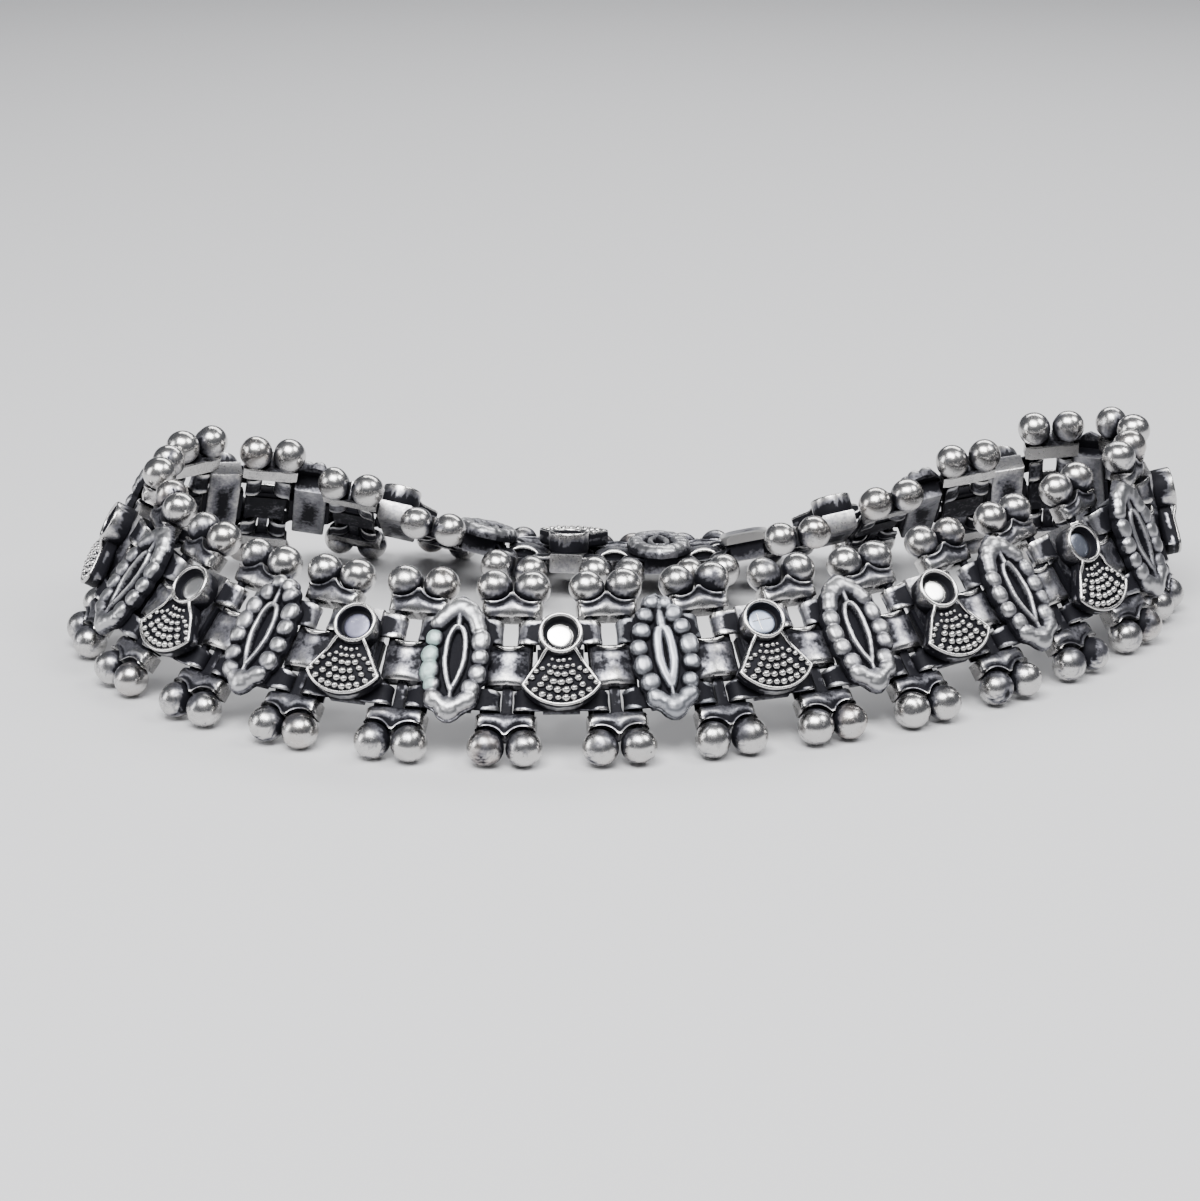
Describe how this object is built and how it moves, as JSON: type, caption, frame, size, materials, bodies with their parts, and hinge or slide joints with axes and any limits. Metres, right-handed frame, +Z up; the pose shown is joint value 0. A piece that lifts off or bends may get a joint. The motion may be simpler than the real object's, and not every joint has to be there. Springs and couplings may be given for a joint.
{
  "type": "chain bracelet",
  "caption": "Wide flexible loop bracelet of hinged plaques, almond and fan shaped in turn, joined by pinned barrel links with ball-tipped pins along both edges.",
  "frame": {"origin": "middle of the bounding box, on the surface that the bracelet rests on", "axes": "+X along the bracelet's width from its left to its right end, +Y from the front plaque to the clasp, +Z up"},
  "size_m": [0.087, 0.0468, 0.0149],
  "materials": {
    "link_silver": "oxidised silver, worn bright on the balls and barrels, dark in the joints",
    "marquise_silver": "oxidised silver, bright granulated rim round a dark field",
    "fan_silver": "oxidised silver, polished disc in a cup over a dark granulated skirt",
    "clasp_silver": "oxidised silver, plain satin"
  },
  "bodies": {
    "root": {"link_00": "link_silver", "link_01": "link_silver", "link_02": "link_silver", "link_03": "link_silver", "link_04": "link_silver", "link_05": "link_silver", "link_06": "link_silver", "link_07": "link_silver", "link_08": "link_silver", "link_09": "link_silver", "link_10": "link_silver", "link_11": "link_silver", "link_12": "link_silver", "link_13": "link_silver", "link_14": "link_silver", "link_15": "link_silver", "link_16": "link_silver", "link_17": "link_silver", "link_18": "link_silver", "link_19": "link_silver", "link_20": "link_silver", "link_21": "link_silver", "link_22": "link_silver", "link_23": "link_silver", "link_24": "link_silver", "link_25": "link_silver", "link_26": "link_silver", "fan_00": "fan_silver", "marquise_01": "marquise_silver", "fan_02": "fan_silver", "marquise_03": "marquise_silver", "fan_04": "fan_silver", "marquise_05": "marquise_silver", "fan_06": "fan_silver", "marquise_07": "marquise_silver", "fan_08": "fan_silver", "marquise_09": "marquise_silver", "fan_10": "fan_silver", "marquise_11": "marquise_silver", "fan_12": "fan_silver", "clasp": "clasp_silver", "marquise_14": "marquise_silver", "fan_15": "fan_silver", "marquise_16": "marquise_silver", "fan_17": "fan_silver", "marquise_18": "marquise_silver", "fan_19": "fan_silver", "marquise_20": "marquise_silver", "fan_21": "fan_silver", "marquise_22": "marquise_silver", "fan_23": "fan_silver", "marquise_24": "marquise_silver", "fan_25": "fan_silver", "marquise_26": "marquise_silver"}
  },
  "joints": []
}
